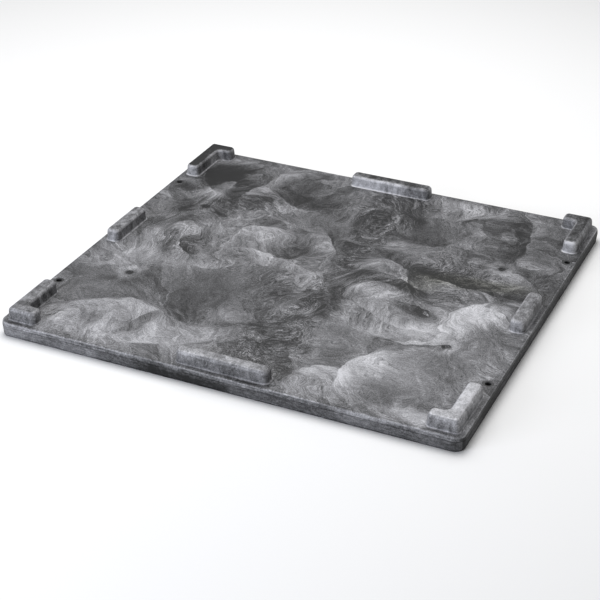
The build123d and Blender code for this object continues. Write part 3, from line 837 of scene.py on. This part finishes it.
def lug_finish():
    """Marbled lug: upright streaks down its flanks, scuffed crown, painted highlight on rounded edges and
    round the foot, painted light and shade on single flanks.
    """
    finish = Finish("marbled_lug")
    pits = pitting(finish)
    up = finish.facing_up()
    curl = finish.warped(finish.warped(finish.place, *LUG_DRIFT), *LUG_FINE_DRIFT)
    cloud = finish.noise(curl, *LUG_CLOUDS)
    streak = finish.drawn(curl, *LUG_STREAKS)
    scuff = finish.drawn(finish.place, *LUG_SCUFFS)
    top = up.ramp(*LUG_TOP_FLAT) * finish.z.ramp(*LUG_TOP_RISE)
    foot = finish.z.ramp(*LUG_FOOT_RISE)
    own_tone = pools(finish, finish.place, LUG_TONES)
    # painted light and shade on single flanks
    flank_painted_light = pools(finish, finish.place, FLANK_PAINTED_LIGHT_AND_SHADE) * (1.0 - top)
    tone = LUG_MEAN + cloud.swing() * LUG_CLOUD_TONE
    tone = tone + streak.swing() * LUG_STREAK_TONE * (1.0 - top * LUG_TOP_CALMS)
    tone = tone + (scuff - LUG_SCUFF_MEAN) * (top * SCUFFED_TOP + SCUFFED_FLANK)
    tone = tone + own_tone * (TONED_FLANK + top * TONED_TOP)
    tone = tone + flank_painted_light * (FLANK_EVEN + cloud * FLANK_CLOUDED)
    # painted highlight on rounded edges and at the foot
    tone = tone + rounded(up) * LUG_EDGE_PAINTED_HIGHLIGHT + foot * LUG_FOOT_PAINTED_HIGHLIGHT
    tone = held(tone + pits.swing() * LUG_PITTING_TONE, LUG_TONE_RANGE)
    return finish.drive(
        Base_Color=finish.tinted(tone * tone * MELT_GAIN, COOL_GREY),
        Roughness=LUG_ROUGHNESS - tone * LIGHT_POLISH,
        Specular_IOR_Level=MELT_GLOSS,
        Normal=finish.bump(pits * PIT_HEIGHT + scuff * SCUFF_HEIGHT + cloud * CLOUD_HEIGHT, *LUG_RELIEF),
    )


def galvanised_finish():
    """Hot-dip zinc: interlocked crystals, each with its own brightness, dulled in patches."""
    finish = Finish("galvanised_steel")
    stretched = finish.warped(finish.vector("MULTIPLY", finish.place, CRYSTAL_STRETCH), *CRYSTAL_DRIFT)
    crystal = finish.split(finish.cell_tints(stretched, CRYSTALS_PER_METRE))[0]
    fern = finish.noise(stretched, *ZINC_FERNS)
    dull = finish.noise(finish.place, *ZINC_DULLNESS).ramp(*DULL_EDGE)
    tone = ZINC_MEAN + crystal * CRYSTAL_TONE + fern.swing() * FERN_TONE - dull * DULL_TONE
    return finish.drive(
        Base_Color=finish.tinted(tone, ZINC_TINT),
        Metallic=1.0,
        Roughness=ZINC_ROUGHNESS + crystal * CRYSTAL_ROUGHNESS + dull * DULL_ROUGHNESS,
        Normal=finish.bump(fern * FERN_HEIGHT + crystal * CRYSTAL_HEIGHT, *ZINC_RELIEF),
    )


def zinc_screw_finish():
    """Bright zinc plate, lined by the thread roller and stained in spots."""
    finish = Finish("zinc_plated_screw")
    rolled = finish.drawn(finish.place, *ROLLED_LINES)
    stain = finish.noise(finish.place, *SCREW_STAINS)
    tone = PLATED_MEAN + rolled.swing() * ROLLED_TONE - stain.ramp(*STAIN_EDGE) * STAIN_TONE
    return finish.drive(
        Base_Color=finish.tinted(tone, PLATED_TINT),
        Metallic=1.0,
        Roughness=PLATED_ROUGHNESS + stain * STAIN_ROUGHNESS,
        Normal=finish.bump(rolled * ROLLED_HEIGHT + stain * STAIN_HEIGHT, *SCREW_RELIEF),
    )


def dark_moulding_finish(name, level, dust_tone):
    """Dark moulded plastic: fine spark-eroded texture, handling marks and pale dust."""
    finish = Finish(name)
    texture = finish.noise(finish.place, *MOULD_TEXTURE)
    marks = finish.noise(finish.warped(finish.place, *HANDLING_DRIFT), *HANDLING_MARKS)
    dust = marks.ramp(*DUST_EDGE)
    return finish.drive(
        Base_Color=finish.tinted(level + texture.swing() * TEXTURE_TONE + dust * dust_tone, MOULDED_TINT),
        Roughness=MOULD_ROUGHNESS + dust * DUST_ROUGHNESS + texture.swing() * TEXTURE_ROUGHNESS,
        Normal=finish.bump(texture * TEXTURE_HEIGHT + marks * MARK_HEIGHT, *MOULD_RELIEF),
    )


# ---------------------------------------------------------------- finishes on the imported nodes
def wear(node, material):
    """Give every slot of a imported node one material."""
    mesh = frame["nodes"][node].data
    for place in range(max(1, len(mesh.materials))):
        if place < len(mesh.materials):
            mesh.materials[place] = material
        else:
            mesh.materials.append(material)


FINISHES = {
    "deck_plastic": deck_finish(),
    "base_plastic": base_finish(),
    "lug_plastic": lug_finish(),
    "tube_steel": galvanised_finish(),
    "plug_plastic": dark_moulding_finish("black_plug", *PLUG_BLACK),
    "sleeve_plastic": dark_moulding_finish("dark_sleeve", *SLEEVE_GREY),
    "screw_steel": zinc_screw_finish(),
}
for part in frame["record"]["subparts"]:
    wear(part["node"], FINISHES[part["material_slot"]])


# ---------------------------------------------------------------- studio
CAMERA_PLACE = Vector((1.4435, -3.2734, 2.0000))
CAMERA_YAW = math.radians(-24.4722)
CAMERA_DOWN = math.radians(29.8038)
CAMERA_ROLL = math.radians(0.3139)
LENS = 93.008                   # mm, and so is the sensor
SENSOR = 36.0
FLOOR_REACH = 12.0              # half the floor's side, metres
FLOOR_GREY = (0.86, 0.86, 0.86, 1.0)
WHITE = (1.0, 1.0, 1.0)
SKY_BLUE = (0.86, 0.90, 1.0)
ROOM_LIGHT = 0.32


def aim(place, forward, roll=0.0):
    """Matrix of a camera or lamp at place looking along forward."""
    turn = forward.to_track_quat("-Z", "Y").to_matrix().to_4x4()
    return Matrix.Translation(place) @ turn @ Matrix.Rotation(roll, 4, "Z")


def add_camera():
    camera = bpy.data.objects.new("view", bpy.data.cameras.new("view"))
    bpy.context.scene.collection.objects.link(camera)
    level = math.cos(CAMERA_DOWN)
    forward = Vector((math.sin(CAMERA_YAW) * level, math.cos(CAMERA_YAW) * level, -math.sin(CAMERA_DOWN)))
    camera.matrix_world = aim(CAMERA_PLACE, forward, CAMERA_ROLL)
    camera.data.lens = LENS
    camera.data.sensor_width = SENSOR
    bpy.context.scene.camera = camera


def add_softbox(name, place, size, power, tint):
    """Rectangular lamp aimed at the middle of the floor."""
    lamp = bpy.data.lights.new(name, "AREA")
    lamp.shape = "RECTANGLE"
    lamp.size, lamp.size_y = size
    lamp.energy = power
    lamp.color = tint
    thing = bpy.data.objects.new(name, lamp)
    bpy.context.scene.collection.objects.link(thing)
    thing.matrix_world = aim(Vector(place), -Vector(place))


def add_floor():
    mesh = bpy.data.meshes.new("studio_floor")
    corners = [(x * FLOOR_REACH, y * FLOOR_REACH, 0.0) for x, y in ((-1, -1), (1, -1), (1, 1), (-1, 1))]
    mesh.from_pydata(corners, [], [(0, 1, 2, 3)])
    floor = bpy.data.objects.new("studio_floor", mesh)
    bpy.context.scene.collection.objects.link(floor)
    finish = Finish("studio_floor")
    mesh.materials.append(finish.drive(Base_Color=FLOOR_GREY, Roughness=0.9))


def light_room():
    world = bpy.data.worlds.new("studio")
    world.use_nodes = True
    background = world.node_tree.nodes["Background"]
    background.inputs["Color"].default_value = (*WHITE, 1.0)
    background.inputs["Strength"].default_value = ROOM_LIGHT
    bpy.context.scene.world = world
    add_softbox("overhead", (-0.6, 0.9, 3.4), (3.0, 3.0), 130.0, WHITE)
    add_softbox("front_fill", (-1.6, -3.6, 1.1), (2.4, 1.4), 95.0, SKY_BLUE)


bpy.context.scene.view_settings.view_transform = "Standard"
add_camera()
add_floor()
light_room()
